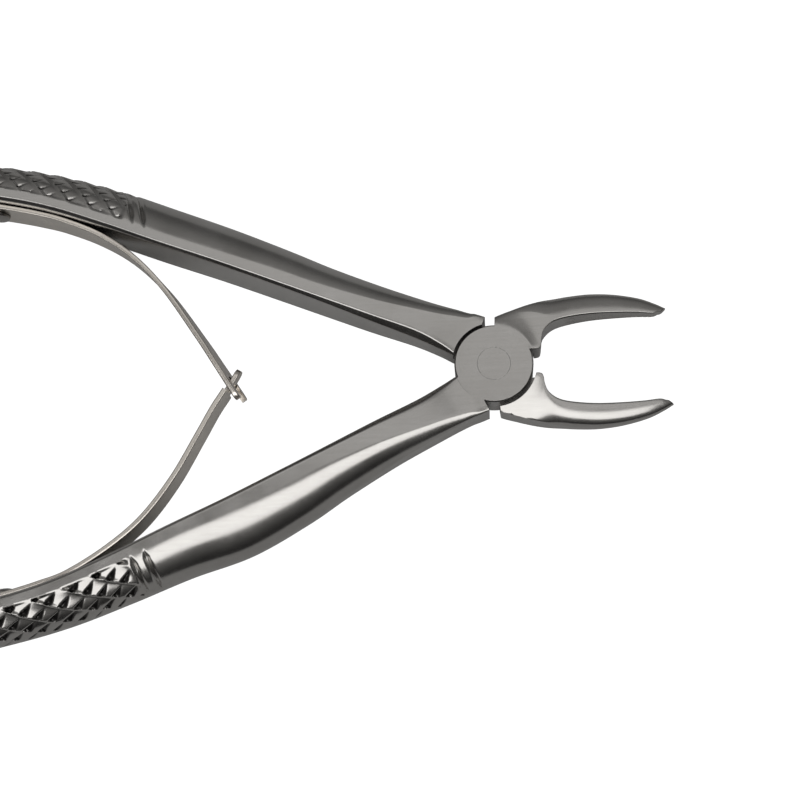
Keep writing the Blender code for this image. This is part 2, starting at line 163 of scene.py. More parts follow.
# ---- Beaks: inner edge, outer edge, then the same section sizes as the handles -------------------
BEAK_STATIONS = (
    ((2.0, 1.75), (-0.9, 6.1), 2.90, 0.10, 0.05, 0.70, 1.10),
    ((4.4, 1.75), (1.0, 6.9), 2.92, 0.10, 0.05, 0.67, 1.10),
    ((6.3, 1.75), (2.8, 7.5), 2.92, 0.10, 0.05, 0.63, 1.12),
    ((6.75, 2.3), (4.2, 7.95), 2.88, 0.12, 0.06, 0.60, 1.15),
    ((6.85, 3.2), (5.6, 8.35), 2.80, 0.14, 0.08, 0.55, 1.3),
    ((7.3, 4.4), (7.2, 8.75), 2.70, 0.16, 0.08, 0.42, 1.7),
    ((8.6, 5.45), (8.9, 9.1), 2.54, 0.18, 0.06, 0.24, 2.3),
    ((10.6, 6.0), (10.9, 9.4), 2.34, 0.18, 0.05, 0.14, 2.6),
    ((13.8, 6.35), (14.0, 9.6), 2.02, 0.18, 0.05, 0.10, 2.6),
    ((17.2, 6.4), (17.4, 9.35), 1.70, 0.16, 0.05, 0.10, 2.5),
    ((20.4, 6.3), (20.9, 8.6), 1.36, 0.14, 0.05, 0.10, 2.3),
    ((22.6, 6.1), (23.2, 7.65), 1.05, 0.12, 0.05, 0.10, 2.1),
    ((23.5, 6.3), (24.4, 7.0), 0.80, 0.08, 0.05, 0.10, 2.0),
)
# On its disc's side a beak starts level with the disc, as a square bar, and falls away round the rivet.
ROOT_SIZES = (2.80, 0.10, 0.88, 0.90, 1.5)
ROOT_ALONG = (4.5, 10.5)  # over which the root's shape gives way to the beak's own
FACE_RADIUS = 5.75        # of the flat round the rivet
ROOT_FALL = math.tan(math.radians(10.0))
ROOT_FALL_REACH = 2.2     # over which the fall levels off
BEAK_RING_STEP = 0.14
BEAK_COUNTS = (14, 10, 40)
BEAK_TIP_ROUNDING = 0.35
SERRATION_FROM = (9.5, 11.0)  # along the long axis, between which the serration starts
SERRATION_PITCH = 0.62
SERRATION_DEPTH = 0.13

# ---- Leaf springs -------------------------------------------------------------------------------
LEAF_THICKNESS = 0.75
LEAF_BASE_WIDTH = 6.2
LEAF_TIP_WIDTH = 4.8
LEAF_EDGE_RADIUS = 0.14
LEAF_TAPER_FROM = 0.3     # share of the length after which a leaf narrows
LEAF_END_LENGTH = 2.0     # of the rounded screwed end
LEAF_END_NARROWING = 0.45
LEAF_TIP_LENGTH = 1.0     # of the rounded tip
LEAF_SEAT_GAP = 0.06
LEAF_SEAT_STATIONS = (-75.5, -72.0, -68.0, -64.0, -60.0)
LEAF_ROUTE = {
    "front": (
        (-54.6, 22.3), (-49.8, 18.5), (-45.4, 13.2), (-41.7, 7.3), (-39.4, 3.5), (-37.6, 0.95),
        (-35.7, -2.0),
    ),
    "back": (
        (-54.9, 22.8), (-50.1, 19.3), (-45.6, 14.2), (-41.1, 7.2), (-38.9, 3.5), (-37.1, 0.4),
        (-35.6, -2.2),
    ),
}
LEAF_RING_STEP = 0.3
TONGUE_WIDTH = 2.0
TONGUE_LENGTH = 3.6
FORK_SLOT_WIDTH = 2.6
FORK_SLOT_LENGTH = 3.8
BACK_LEAF_TWIST = 11.0    # degrees at its tip
TWIST_FROM = 0.4          # share of the length after which it twists
BLEND_FROM = 14.0         # along a leaf, the start of the bending line that hang_leaf works out but does not use

# ---- Leaf screws --------------------------------------------------------------------------------
SCREW_ALONG = -70.0
SCREW_HEAD_RADIUS = 2.1
SCREW_HEAD_HEIGHT = 0.9
SCREW_HEAD_RIM = 0.3
SCREW_HEAD_EDGE = 0.08
SCREW_SHANK_RADIUS = 1.1
SCREW_SHANK_LENGTH = 3.4
SCREW_HOLE_RADIUS = 1.2
SCREW_SLOT_WIDTH = 0.6
SCREW_SLOT_DEPTH = 0.5
ROUND_STEPS = 96

# ---- Steel: light and dark tones, roughness ------------------------------------------------------
SATIN = ((0.56, 0.545, 0.525), (0.47, 0.455, 0.435), 0.21)
SPRING = ((0.86, 0.81, 0.74), (0.76, 0.71, 0.65), 0.22)
POLISHED = ((0.48, 0.46, 0.44), (0.36, 0.35, 0.34), 0.2)
SATIN_BRUSHING = {"front": -22, "back": 22}          # degrees from the long axis
SPRING_BRUSHING = {"front": -60, "back": 60}
RIVET_BRUSHING = -10
SPRING_BRUSH_STRENGTH = 0.35
EDGE_RADIUS = 0.06
BRUSH_DEPTH = 0.004
PAINTED_SHADE_REACH = 0.9       # reach of the occlusion test for the painted shade: a surface with metal nearer than this is darkened
# Painted shade: the dark colour given to the steel in gaps and at the bottoms of cuts.
PAINTED_SHADE_COLOUR = (0.05, 0.048, 0.046)

# ---- Camera and light ----------------------------------------------------------------------------
CAMERA_PLACE = (-3.71, -66.42, 272.43)
CAMERA_RIGHT = (0.99725057, -0.05575496, -0.04881279)
CAMERA_UP = (0.06532445, 0.97243073, 0.22385531)
CAMERA_LENS = 89.1
SENSOR_WIDTH = 36.0
# Softboxes: place, point aimed at and size in millimetres, then power in watts.
SOFTBOXES = {
    "key": ((-30, -195, 567), (-30, 0, 0), (700, 390), 1.3),
    "ceiling": ((40, 160, 578), (0, 0, 0), (620, 150), 0.125),
}
# Brightness of the surroundings from straight down (0) through the horizon (0.5) to overhead (1).
WORLD_STOPS = (
    (0.0, 0.12), (0.48, 0.06), (0.52, 0.02), (0.66, 0.04), (0.80, 0.11), (0.92, 0.17), (1.0, 0.20),
)
WORLD_TINT = (1.0, 0.99, 0.975)
FAR_SIDE = 0.08           # brightness that the side beyond the object adds
FAR_SIDE_RANGE = (-0.1, 0.7)
FLOOR_TONE = 0.55
FLOOR_LIFT = 0.95         # light that the white floor adds for the camera, as a light table does

BOTH = ("front", "back")


# ---- Curves -------------------------------------------------------------------------------------
def smooth_table(rows, per_span=80):
    """Rows of numbers joined by Catmull-Rom curves."""
    table = np.array(rows, float)
    table = np.vstack([2 * table[0] - table[1], table, 2 * table[-1] - table[-2]])
    t = (np.arange(per_span) / per_span)[:, None]
    spans = []
    for index in range(1, len(table) - 2):
        p0, p1, p2, p3 = table[index - 1:index + 3]
        spans.append(0.5 * (2 * p1 + (p2 - p0) * t + (2 * p0 - 5 * p1 + 4 * p2 - p3) * t ** 2
                            + (3 * p1 - p0 - 3 * p2 + p3) * t ** 3))
    return np.vstack(spans + [table[-2:-1]])


def lengths_along(points):
    steps = np.linalg.norm(np.diff(points, axis=0), axis=1)
    return np.concatenate([[0.0], np.cumsum(steps)])


def sample(table, lengths, wanted):
    """Rows of a table read off at the wanted lengths."""
    return np.stack([np.interp(wanted, lengths, column) for column in table.T], axis=1)


def unit(vectors):
    return vectors / np.linalg.norm(vectors, axis=-1, keepdims=True)


def ease(values):
    """0 below 0, 1 above 1 and a smooth rise between."""
    t = np.clip(values, 0, 1)
    return t * t * (3 - 2 * t)


def fade(values, start, end):
    """0 up to start, 1 from end on and a smooth rise between."""
    return ease((values - start) / (end - start))


def rounded_corner(before, corner, after, reach, steps=4):
    """Points of a small curve in place of a corner."""
    start = corner + (before - corner) / np.linalg.norm(before - corner) * reach
    end = corner + (after - corner) / np.linalg.norm(after - corner) * reach
    t = np.linspace(0, 1, steps)[:, None]
    return start * (1 - t) ** 2 + corner * 2 * t * (1 - t) + end * t ** 2


# ---- Sections -----------------------------------------------------------------------------------
def half_section(size, counts):
    """Upper half outline (across, up) from the middle of the inner face round to the outer side.

    Also gives each point's distance round the section from the inner top edge."""
    width, height, chamfer, flat_share, wall_share, power = size
    inner_count, flat_count, outer_count = counts
    flat_end = chamfer + flat_share * (width - chamfer)
    low = np.array([0.0, 0.0])
    edge = np.array([0.0, height - chamfer])
    top = np.array([chamfer, height])
    ridge = np.array([flat_end, height])
    reach = min(0.12, 0.4 * chamfer)
    first = rounded_corner(low, edge, top, reach)
    second = rounded_corner(edge, top, ridge, min(reach, 0.45 * (flat_end - chamfer)))
    inner = low + (first[0] - low) * np.linspace(0, 1, inner_count, endpoint=False)[:, None]
    flat = second[-1] + (ridge - second[-1]) * np.linspace(0, 1, flat_count + 1)[1:, None]
    turn = np.linspace(0, math.pi / 2, 160)
    across = np.sin(turn) ** (2 / power)
    down = np.cos(turn) ** (2 / power)
    wall = wall_share * height
    arc = np.stack([flat_end + (width - flat_end) * across, wall + (height - wall) * down], axis=1)
    arc = np.vstack([arc, [width, 0.0]])
    round_lengths = lengths_along(arc)
    outer = sample(arc, round_lengths, np.linspace(0, round_lengths[-1], outer_count + 1)[1:])
    points = np.vstack([inner, first, second, flat, outer])
    lengths = lengths_along(points)
    return points, lengths - lengths[inner_count + len(first) + len(second) - 1]


def full_section(upper, lower, counts):
    """Closed outline of a forged bar from the sizes of its upper and lower halves.

    Also gives each point's distance round it from the upper inner edge."""
    points, around = half_section(upper, counts)
    below, below_around = half_section(lower, counts)
    outline = np.vstack([points, below[-2:0:-1] * (1, -1)])
    return outline, np.concatenate([around, around[-1] + below_around[-1] - below_around[-2:0:-1]])


def outward_normals(points):
    tangent = unit(np.roll(points, -1, axis=0) - np.roll(points, 1, axis=0))
    return np.stack([-tangent[:, 1], tangent[:, 0]], axis=1)


# ---- Meshes -------------------------------------------------------------------------------------
def link(name, mesh):
    piece = bpy.data.objects.new(name, mesh)
    bpy.context.scene.collection.objects.link(piece)
    return piece


def face_outward(mesh_data):
    bmesh.ops.recalc_face_normals(mesh_data, faces=mesh_data.faces)
    if mesh_data.calc_volume(signed=True) < 0:
        bmesh.ops.reverse_faces(mesh_data, faces=mesh_data.faces)


def loft(name, rings, notches=None):
    """Closed solid through rings of points in millimetres, with flat ends.

    The depths of notches, one per point, are kept as the attribute "notch" that the steel reads."""
    rings = np.asarray(rings, float)
    layers, count = rings.shape[:2]
    corners = rings.reshape(-1, 3) * MM
    start = (np.arange(layers - 1) * count)[:, None]
    here = np.arange(count)[None, :]
    follow = (here + 1) % count
    quads = np.stack([start + here, start + follow, start + count + follow, start + count + here], axis=-1)
    faces = quads.reshape(-1, 4).tolist()
    faces.append(list(range(count)))
    faces.append(list(range((layers - 1) * count, layers * count)))
    mesh = bpy.data.meshes.new(name)
    mesh.from_pydata(corners.tolist(), [], faces)
    notch = mesh.attributes.new("notch", "FLOAT", "POINT")
    if notches is not None:
        notch.data.foreach_set("value", np.asarray(notches, np.float32).ravel())
    mesh_data = bmesh.new()
    mesh_data.from_mesh(mesh)
    face_outward(mesh_data)
    mesh_data.to_mesh(mesh)
    mesh_data.free()
    return link(name, mesh)


def turned(name, profile, origin=(0, 0, 0), axis=(0, 0, 1), steps=ROUND_STEPS):
    """Solid of revolution from (radius, height) rows along an axis."""
    axis = Vector(axis).normalized()
    helper = Vector((0, 0, 1)) if abs(axis.z) < 0.9 else Vector((1, 0, 0))
    side = axis.cross(helper).normalized()
    up = axis.cross(side)
    rings = []
    for radius, height in profile:
        centre = Vector(origin) + axis * height
        rings.append([
            centre + (side * math.cos(turn) + up * math.sin(turn)) * radius
            for turn in (2 * math.pi * step / steps for step in range(steps))
        ])
    return loft(name, [[tuple(point) for point in ring] for ring in rings])


def swept(name, profile, start, end, steps=40):
    """Solid from a closed (radius, height) outline carried round the rivet between two directions."""
    rings = []
    for turn in np.radians(np.linspace(start, end, steps)):
        rings.append([(r * math.cos(turn), r * math.sin(turn), z) for r, z in profile])
    return loft(name, rings)


def combine(target, other, operation):
    """Boolean that is applied at once, after which the second solid is gone."""
    modifier = target.modifiers.new(operation.lower(), "BOOLEAN")
    modifier.operation = operation
    modifier.solver = "MANIFOLD"
    modifier.object = other
    bpy.context.view_layer.update()
    graph = bpy.context.evaluated_depsgraph_get()
    result = bpy.data.meshes.new_from_object(target.evaluated_get(graph))
    target.modifiers.clear()
    target.data = result
    bpy.data.objects.remove(other, do_unlink=True)


def shade(piece, angle_degrees=38):
    piece.data.shade_smooth()
    piece.data.set_sharp_from_angle(angle=math.radians(angle_degrees))
    weigh = piece.modifiers.new("weighted_normal", "WEIGHTED_NORMAL")
    weigh.keep_sharp = True


# ---- Handles ------------------------------------------------------------------------------------
def handle_sign(half):
    """The front half's handle lies at -Y and its beak at +Y; the back half is the other way up."""
    return -1 if half == "front" else 1


def handle_path(half):
    """Inner face in plan: distances along it, then rows of place, outward direction and section sizes."""
    sign = handle_sign(half)
    rows = smooth_table([
        (along, away, width, *rest)
        for (along, *rest), (away, width) in zip(HANDLE_STATIONS, HANDLE_PLAN[half])
    ])
    heading = unit(np.gradient(rows[:, :2], axis=0))
    outward = np.stack([heading[:, 1], -heading[:, 0]], axis=1)
    place = rows[:, :2] * (1, sign)
    return lengths_along(place), np.hstack([place, outward * (1, sign), rows[:, 2:]])


def cut_depth(distance, depth, slope):
    """Depth of a V cut at a distance from its middle line."""
    return np.maximum(0, depth - slope * np.abs(distance))


def across_lines(along, around, lean, anchor, pitch):
    """Share of the way from each leaning line to the next, and the distance between two lines."""
    offset = along - anchor - lean * (around - ANCHOR_AROUND)
    return (offset / pitch) % 1, pitch / math.sqrt(1 + lean * lean)


def grip_depth(half, along, around, whole):
    """Depth of the forged pattern and the ring grooves round one section, and of the notches alone."""
    grip = GRIP[half]
    edge = np.minimum(around, whole - around)
    shown = fade(edge, GRIP_STRIP, GRIP_STRIP + GRIP_RUN_OUT) * (1 - fade(edge, *GRIP_OUTER))
    shown = shown * fade(along - grip["rings"][1], *GRIP_START)
    # Steps: near the inner edge each falls gently outwards and turns up sharply to the next one, and
    # on the outer side each rises gently and drops sharply, so that all of them catch the light.
    share, _ = across_lines(along, around, grip["step_lean"], grip["anchor"], grip["step_pitch"])
    falling = np.minimum(share / (1 - STEP_RISE), (1 - share) / STEP_RISE)
    rising = np.minimum((1 - share) / (1 - STEP_RISE), share / STEP_RISE)
    turned_over = fade(edge, *STEP_TURN)
    step = (falling * (1 - turned_over) + rising * turned_over) * grip["step"] * shown
    # Notches: each widens and deepens across its step, and so is a triangle from above, which the steel
    # darkens with painted shade where it is deep.
    depth = grip["notch"] * shown * np.clip(share * NOTCH_GROWTH - NOTCH_START, 0, 1)
    share, apart = across_lines(along, around, grip["notch_lean"], grip["anchor"], grip["notch_pitch"])
    notch = cut_depth((0.5 - np.abs(share - 0.5)) * apart, depth, NOTCH_SLOPE)
    total = step + notch * NOTCH_SHARE
    ring_depth = RING_DEPTH * fade(edge, *RING_INNER) * (1 - fade(edge, *RING_OUTER))
    for ring in grip["rings"]:
        offset = along - ring - grip["ring_lean"] * (around - RING_ANCHOR_AROUND)
        total = np.maximum(total, cut_depth(offset, ring_depth, RING_SLOPE))
    return total, notch


def handle_solid(half):
    lengths, table = handle_path(half)
    total = lengths[-1]
    stops = np.concatenate([
        np.arange(0, GRIP_FROM, HANDLE_RING_STEP),
        np.arange(GRIP_FROM, total - GRIP_RING_STEP / 2, GRIP_RING_STEP),
        [total],
    ])
    rings, notches = [], []
    for stop, row in zip(stops, sample(table, lengths, stops)):
        place, outward, size = row[:2], unit(row[2:4]), row[4:]
        points, around = full_section(size, size, HANDLE_COUNTS)
        notch = np.zeros(len(points))
        if stop > GRIP_FROM:
            depth, notch = grip_depth(half, stop, around, around.max())
            depth = np.where(around > 0, depth, 0)
            points = points - outward_normals(points) * depth[:, None]
        plan = place + outward * points[:, :1]
        rings.append(np.column_stack([plan, MIDDLE + points[:, 1]]))
        notches.append(notch)
    last = np.array(rings[-1])
    centre = last.mean(axis=0)
    heading = unit(centre - np.array(rings[-8]).mean(axis=0))
    for turn in np.linspace(0, math.pi / 2, 12)[1:-1]:
        shrink = 1 - HANDLE_END_SHRINK * (1 - math.cos(turn))
        rings.append(centre + heading * HANDLE_END_ROUNDING * math.sin(turn) + (last - centre) * shrink)
        notches.append(notches[-1])
    return loft(half + "_handle", rings, notches)


# ---- Beaks --------------------------------------------------------------------------------------
def beak_section(half, stop, width, sizes):
    """Outline of a beak at one place, and how much of each point's height is lost round the rivet."""
    own = fade(stop, *ROOT_ALONG)
    root = np.array(ROOT_SIZES) * (1 - own) + np.array(sizes) * own
    sides = ((width, *root), (width, *sizes))
    if half == "back":
        sides = sides[::-1]
    points, _ = full_section(*sides, BEAK_COUNTS)
    on_disc_side = points[:, 1] > 0 if half == "front" else points[:, 1] < 0
    return points, np.where(on_disc_side, 1 - own, 0.0)


def root_fall(plan):
    """How far a beak's root lies below its disc's face at places in plan."""
    beyond = np.maximum(0, np.linalg.norm(plan, axis=1) - FACE_RADIUS)
    return ROOT_FALL * ROOT_FALL_REACH * (1 - np.exp(-beyond / ROOT_FALL_REACH))


def serration(along, points):
    """Depth of the cross-cut serration on the inner face of a beak."""
    across_face = np.abs(points[:, 1])
    waves = sum(
        np.abs(((along + sign * across_face) / SERRATION_PITCH) % 1 - 0.5)
        for sign in (1, -1)
    )
    on_inner_face = points[:, 0] < 1e-6
    return np.where(on_inner_face, SERRATION_DEPTH * fade(along, *SERRATION_FROM) * waves, 0)


def beak_solid(half):
    sign = -handle_sign(half)
    table = smooth_table([(*inner, *outer, *rest) for inner, outer, *rest in BEAK_STATIONS])
    middle = (table[:, :2] + table[:, 2:4]) / 2
    lengths = lengths_along(middle)
    stops = np.append(np.arange(0, lengths[-1], BEAK_RING_STEP), lengths[-1])
    rings = []
    for stop, row in zip(stops, sample(table, lengths, stops)):
        inner, outer = row[:2] * (1, sign), row[2:4] * (1, sign)
        width = np.linalg.norm(outer - inner)
        across = unit(outer - inner)
        points, lost = beak_section(half, stop, width, row[4:])
        depth = serration(row[0], points)
        plan = inner + across * (points[:, :1] + depth[:, None])
        height = points[:, 1] * (1 - lost * root_fall(plan) / ROOT_SIZES[0])
        rings.append(np.column_stack([plan, MIDDLE + height]))
    last = np.array(rings[-1])
    centre = last.mean(axis=0)
    heading = unit(centre - np.array(rings[-4]).mean(axis=0))
    for turn in np.linspace(0, math.pi / 2, 6)[1:-1]:
        ahead = heading * BEAK_TIP_ROUNDING * math.sin(turn)
        rings.append(centre + ahead + (last - centre) * (0.35 + 0.65 * math.cos(turn)))
    return loft(half + "_beak", rings)


# ---- Whole halves -------------------------------------------------------------------------------
def rivet_profile(seam=0.0):
    """(radius, height) rows of the rivet, or with a seam of the bore that takes it."""
    over = CUT_CLEAR if seam else 0.0
    head = RIVET_RADIUS + seam
    shank = head - RIVET_WAIST
    return (
        (head, -over), (head, 0.05), (shank, 0.6), (shank, THICKNESS - 0.6), (head, THICKNESS - 0.05),
        (head, THICKNESS + over),
    )


def notch_cutter(name, start, end):
    """Cutter outside the disc that also chamfers the disc's rim at both faces."""
    rim = DISC_RADIUS - RIM_CHAMFER
    low, high = -CUT_CLEAR, THICKNESS + CUT_CLEAR
    profile = (
        (rim, low), (rim, 0.0), (DISC_RADIUS, RIM_CHAMFER), (DISC_RADIUS, THICKNESS - RIM_CHAMFER),
        (rim, THICKNESS), (rim, high), (SHOULDER_REACH, high), (SHOULDER_REACH, low),
    )
    return swept(name, profile, start, end)


def inner_face_at(half, along):
    """Place of a handle's inner face in plan, and the direction outward from it."""
    _, table = handle_path(half)
    order = np.argsort(table[:, 0])
    row = np.array([np.interp(along, table[order, 0], column) for column in table[order, :4].T])
    return row[:2], unit(row[2:])


def screw_frame(half):
    """Where a screw head's underside meets its leaf, and the direction in which the screw goes in."""
    place, outward = inner_face_at(half, SCREW_ALONG)
    face = place - outward * (LEAF_SEAT_GAP + LEAF_THICKNESS)
    return Vector((*face, MIDDLE)), Vector((*outward, 0))


def screw_hole(half):
    origin, direction = screw_frame(half)
    profile = ((SCREW_HOLE_RADIUS, -1.0), (SCREW_HOLE_RADIUS, SCREW_SHANK_LENGTH + 0.2))
    return turned(half + "_hole", profile, origin, direction, ROUND_STEPS // 2)


def half_solid(half):
    """One forging: handle, disc and beak in one piece, bored for the rivet."""
    sign = handle_sign(half)
    front = half == "front"
    solid = handle_solid(half)
    combine(solid, beak_solid(half), "UNION")
    plate_inner = MIDDLE + PLATE_GAP / 2 if front else MIDDLE - PLATE_GAP / 2
    far = -3.0 if front else THICKNESS + 3.0
    clear = DISC_RADIUS + RECESS_GAP
    heights = sorted((far, plate_inner))
    centre = (RECESS_SHIFT * 0.8, -sign * RECESS_SHIFT * 0.6, 0)
    combine(solid, turned(half + "_recess", [(clear, height) for height in heights], centre), "DIFFERENCE")
    if front:
        disc = ((DISC_RADIUS, plate_inner), (DISC_RADIUS, THICKNESS - RIM_CHAMFER),
                (DISC_RADIUS - RIM_CHAMFER, THICKNESS))
    else:
        disc = ((DISC_RADIUS - RIM_CHAMFER, 0), (DISC_RADIUS, RIM_CHAMFER), (DISC_RADIUS, plate_inner))
    combine(solid, turned(half + "_disc", disc), "UNION")
    for low, high in ((THICKNESS, THICKNESS + CUT_CLEAR), (-CUT_CLEAR, 0.0)):
        face = ((DISC_RADIUS + 0.02, low), (DISC_RADIUS + 0.02, high))
        combine(solid, turned(half + "_spot_face", face), "DIFFERENCE")
    # Both ends of the full-thickness metal are cut square, so that a notch shows between the halves.
    notches = (
        (-sign, BEAK_SHOULDER, BEAK_NOTCH_END),
        (sign, HANDLE_NOTCH_START, HANDLE_SHOULDER[half]),
    )
    for side, start, end in notches:
        combine(solid, notch_cutter(half + "_notch", side * start, side * end), "DIFFERENCE")
    combine(solid, turned(half + "_bore", rivet_profile(RIVET_SEAM)), "DIFFERENCE")
    combine(solid, screw_hole(half), "DIFFERENCE")
    solid.name = half + "_half_forged"
    return solid


# ---- Leaf springs -------------------------------------------------------------------------------
def leaf_path(half):
    """Middle line of a leaf in plan, from its screwed end to its tip, with the lengths along it."""
    lift = LEAF_SEAT_GAP + LEAF_THICKNESS / 2
    points = []
    for along in LEAF_SEAT_STATIONS:
        place, outward = inner_face_at(half, along)
        points.append(place - outward * lift)
    points += [np.array((along, handle_sign(half) * away)) for along, away in LEAF_ROUTE[half]]
    path = smooth_table(points, 40)
    return path, lengths_along(path)


def leaf_axes(heading, twist_degrees):
    """Directions across a leaf's width and through its thickness."""
    normal = np.array((heading[1], -heading[0], 0.0))
    twist = math.radians(twist_degrees)
    up = np.array((0.0, 0.0, 1.0))
    return up * math.cos(twist) + normal * math.sin(twist), normal * math.cos(twist) - up * math.sin(twist)


def strip_outline(width, thickness):
    """Outline (wide, thick) of a strip whose long edges are ground slightly round."""
    points = []
    radius = LEAF_EDGE_RADIUS
    for cx, cy, first in ((1, 1, 0), (-1, 1, 90), (-1, -1, 180), (1, -1, 270)):
        for turn in np.radians(np.linspace(first, first + 90, 4)):
            points.append((cx * (width / 2 - radius) + radius * math.cos(turn),
                           cy * (thickness / 2 - radius) + radius * math.sin(turn)))
    return points


def leaf_width(half, stop, total):
    """Width of a leaf at a length along it, with its rounded ends and the front leaf's tongue."""
    front = half == "front"
    taper = max(0, (stop / total - LEAF_TAPER_FROM) / (1 - LEAF_TAPER_FROM))
    width = LEAF_BASE_WIDTH + (LEAF_TIP_WIDTH - LEAF_BASE_WIDTH) * taper
    width *= 1 - LEAF_END_NARROWING * max(0.0, 1 - stop / LEAF_END_LENGTH) ** 2
    near_tip = min(1.0, max(0.0, 1 - (total - stop) / LEAF_TIP_LENGTH))
    roundness = math.sqrt(1 - near_tip ** 2)
    if not front:
        return width * (0.72 + 0.28 * roundness)
    return TONGUE_WIDTH * (0.35 + 0.65 * roundness) if stop > total - TONGUE_LENGTH else width


def leaf_solid(half):
    path, lengths = leaf_path(half)
    total = lengths[-1]
    shoulder = total - TONGUE_LENGTH
    tip = total - LEAF_TIP_LENGTH
    stops = np.concatenate([
        np.linspace(0, LEAF_END_LENGTH, 9),
        np.arange(LEAF_END_LENGTH + LEAF_RING_STEP, shoulder - 0.3, LEAF_RING_STEP),
        [shoulder - 0.12, shoulder, shoulder + 0.01],
        np.arange(shoulder + 0.15, tip, 0.2),
        tip + LEAF_TIP_LENGTH * np.sin(np.linspace(0, math.pi / 2, 9)),
    ])
    twist_at_tip = 0.0 if half == "front" else BACK_LEAF_TWIST
    rings = []
    for stop in stops:
        ends = sample(path, lengths, np.array([max(stop - 0.4, 0), min(stop + 0.4, total)]))
        centre = sample(path, lengths, np.array([stop]))[0]
        twist = twist_at_tip * max(0.0, (stop / total - TWIST_FROM) / (1 - TWIST_FROM))
        wide, thick = leaf_axes(unit(ends[1] - ends[0]), twist)
        middle = np.array((*centre, MIDDLE))
        outline = strip_outline(leaf_width(half, stop, total), LEAF_THICKNESS)
        rings.append([middle + wide * a + thick * b for a, b in outline])
    leaf = loft(half + "_leaf_strip", rings)
    combine(leaf, screw_hole(half), "DIFFERENCE")
    if half == "back":
        combine(leaf, fork_cutter(path, lengths), "DIFFERENCE")
    return leaf


def fork_cutter(path, lengths):
    """Slot with a round bottom that opens at the back leaf's tip and takes the front leaf's tongue."""
    total = lengths[-1]
    tip = path[-1]
    heading = unit(tip - sample(path, lengths, np.array([total - FORK_SLOT_LENGTH]))[0])
    wide, thick = leaf_axes(heading, BACK_LEAF_TWIST)
    forward = np.array((*heading, 0.0))
    radius = FORK_SLOT_WIDTH / 2
    start = np.array((*tip, MIDDLE)) - forward * (FORK_SLOT_LENGTH - radius)
    outline = [(FORK_SLOT_LENGTH, -radius)]
    outline += [
        (-radius * math.cos(turn), radius * math.sin(turn))
        for turn in np.linspace(-math.pi / 2, math.pi / 2, 25)
    ]
    outline.append((FORK_SLOT_LENGTH, radius))
    rings = [
        [start + forward * ahead + wide * aside + thick * depth for ahead, aside in outline]
        for depth in (-2 * LEAF_THICKNESS, 2 * LEAF_THICKNESS)
    ]
    return loft("fork_slot", rings)


# ---- Leaf screws --------------------------------------------------------------------------------
def screw_solid(half):
    origin, direction = screw_frame(half)
    rows = [
        (SCREW_SHANK_RADIUS, SCREW_SHANK_LENGTH), (SCREW_SHANK_RADIUS, 0.0),
        (SCREW_HEAD_RADIUS - SCREW_HEAD_EDGE, 0.0), (SCREW_HEAD_RADIUS, -SCREW_HEAD_EDGE),
    ]
    for turn in np.linspace(0, math.pi / 2 * 0.97, 14):
        height = SCREW_HEAD_RIM + (SCREW_HEAD_HEIGHT - SCREW_HEAD_RIM) * math.sin(turn)
        rows.append((SCREW_HEAD_RADIUS * (0.12 + 0.88 * math.cos(turn)), -height))
    screw = turned(half + "_screw_turned", rows, origin, direction)
    combine(screw, slot_cutter(half, origin, direction), "DIFFERENCE")
    return screw


def slot_cutter(half, origin, direction):
    """Block that cuts the driver's slot, upright across a screw's head."""
    along = Vector((direction.y, -direction.x, 0)) * SCREW_SLOT_WIDTH / 2
    up = Vector((0, 0, 1)) * (SCREW_HEAD_RADIUS + 1.0)
    floor = origin - direction * (SCREW_HEAD_HEIGHT - SCREW_SLOT_DEPTH)
    mouth = origin - direction * (SCREW_HEAD_HEIGHT + 1.0)
    corners = ((1, 1), (1, -1), (-1, -1), (-1, 1))
    rings = [[tuple(level + along * a + up * b) for a, b in corners] for level in (floor, mouth)]
    return loft(half + "_screw_slot", rings)


# ---- Materials ----------------------------------------------------------------------------------
class Nodes:
    """Short calls for the nodes of one material."""

    def __init__(self, material):
        material.use_nodes = True
        self.tree = material.node_tree
        self.shader = self.tree.nodes["Principled BSDF"]

    def add(self, kind, **settings):
        node = self.tree.nodes.new(kind)
        for name, value in settings.items():
            setattr(node, name, value)
        return node

    def join(self, source, target):
        self.tree.links.new(source, target)

    def noise(self, vector, scale, detail=3.0, roughness=0.6):
        node = self.add("ShaderNodeTexNoise")
        node.inputs["Scale"].default_value = scale
        node.inputs["Detail"].default_value = detail
        node.inputs["Roughness"].default_value = roughness
        self.join(vector, node.inputs["Vector"])
        return node.outputs["Fac"]

    def stretched(self, vector, turn_degrees, scale):
        node = self.add("ShaderNodeMapping")
        node.inputs["Rotation"].default_value = (0, 0, math.radians(turn_degrees))
        node.inputs["Scale"].default_value = scale
        self.join(vector, node.inputs["Vector"])
        return node.outputs["Vector"]

    def between(self, value, low, high, to_low, to_high):
        node = self.add("ShaderNodeMapRange")
        numbers = {"From Min": low, "From Max": high, "To Min": to_low, "To Max": to_high}
        for name, number in numbers.items():
            node.inputs[name].default_value = number
        self.join(value, node.inputs["Value"])
        return node.outputs["Result"]

    def maths(self, operation, first, second):
        node = self.add("ShaderNodeMath", operation=operation)
        for socket, value in zip(node.inputs, (first, second)):
            if isinstance(value, (int, float)):
                socket.default_value = value
            else:
                self.join(value, socket)
        return node.outputs[0]

    def mix(self, factor, first, second):
        node = self.add("ShaderNodeMix", data_type="RGBA")
        self.join(factor, node.inputs["Factor"])
        for name, value in (("A", first), ("B", second)):
            socket = [s for s in node.inputs if s.name == name and s.type == "RGBA"][0]
            if isinstance(value, tuple):
                socket.default_value = (*value, 1)
            else:
                self.join(value, socket)
        return [s for s in node.outputs if s.type == "RGBA"][0]


